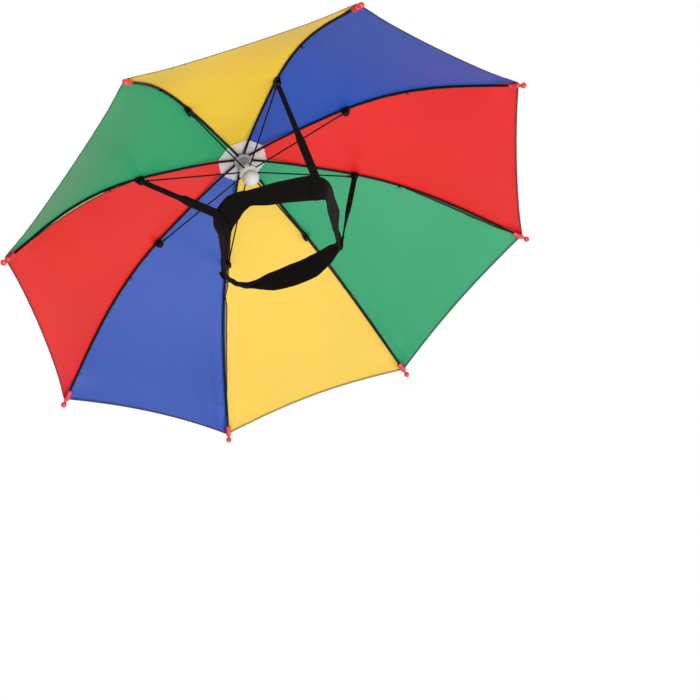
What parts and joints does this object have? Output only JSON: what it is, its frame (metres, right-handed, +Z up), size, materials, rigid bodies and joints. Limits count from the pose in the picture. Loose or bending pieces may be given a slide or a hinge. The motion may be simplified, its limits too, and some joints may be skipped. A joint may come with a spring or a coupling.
{
  "type": "umbrella hat",
  "caption": "Open umbrella hat: bowed cloth canopy on ribs and stretchers round a short shaft, over an elastic headband hung on straps.",
  "frame": {"origin": "the point inside the headband where the hat sits on a head, on the hat's axis, 16 mm above the plane of the tip balls' centres", "axes": "+Z up along the shaft towards the finial, +X along the first rib, so the ribs lie at every 45 degrees from +X"},
  "size_m": [0.525, 0.5252, 0.167],
  "materials": {
    "cloth_green": "smooth woven polyester with a soft sheen",
    "cloth_yellow": "smooth woven polyester with a soft sheen",
    "cloth_blue": "smooth woven polyester with a soft sheen",
    "cloth_red": "smooth woven polyester with a soft sheen",
    "rib_steel": "thin black lacquer on steel",
    "clip_plastic": "moulded black",
    "cap_red": "moulded, glossy",
    "hub_white": "moulded, satin",
    "disc_clear": "thin milky sheet that lets the cloth's colour through",
    "elastic": "black woven elastic"
  },
  "bodies": {
    "root": {"canopy_panel_1": "cloth_green", "canopy_panel_2": "cloth_yellow", "canopy_panel_3": "cloth_blue", "canopy_panel_4": "cloth_red", "canopy_panel_5": "cloth_green", "canopy_panel_6": "cloth_yellow", "canopy_panel_7": "cloth_blue", "canopy_panel_8": "cloth_red", "rib_1": "rib_steel", "tip_cap_1": "cap_red", "stretcher_1": "rib_steel", "rib_clip_1": "clip_plastic", "rib_2": "rib_steel", "tip_cap_2": "cap_red", "stretcher_2": "rib_steel", "rib_clip_2": "clip_plastic", "rib_3": "rib_steel", "tip_cap_3": "cap_red", "stretcher_3": "rib_steel", "rib_clip_3": "clip_plastic", "rib_4": "rib_steel", "tip_cap_4": "cap_red", "stretcher_4": "rib_steel", "rib_clip_4": "clip_plastic", "rib_5": "rib_steel", "tip_cap_5": "cap_red", "stretcher_5": "rib_steel", "rib_clip_5": "clip_plastic", "rib_6": "rib_steel", "tip_cap_6": "cap_red", "stretcher_6": "rib_steel", "rib_clip_6": "clip_plastic", "rib_7": "rib_steel", "tip_cap_7": "cap_red", "stretcher_7": "rib_steel", "rib_clip_7": "clip_plastic", "rib_8": "rib_steel", "tip_cap_8": "cap_red", "stretcher_8": "rib_steel", "rib_clip_8": "clip_plastic", "shaft": "hub_white", "crown_notch": "hub_white", "runner": "hub_white", "lower_knob": "hub_white", "crown_disc": "disc_clear", "finial": "hub_white", "headband": "elastic", "strap_1": "elastic", "strap_2": "elastic", "strap_3": "elastic", "strap_4": "elastic"}
  },
  "joints": []
}
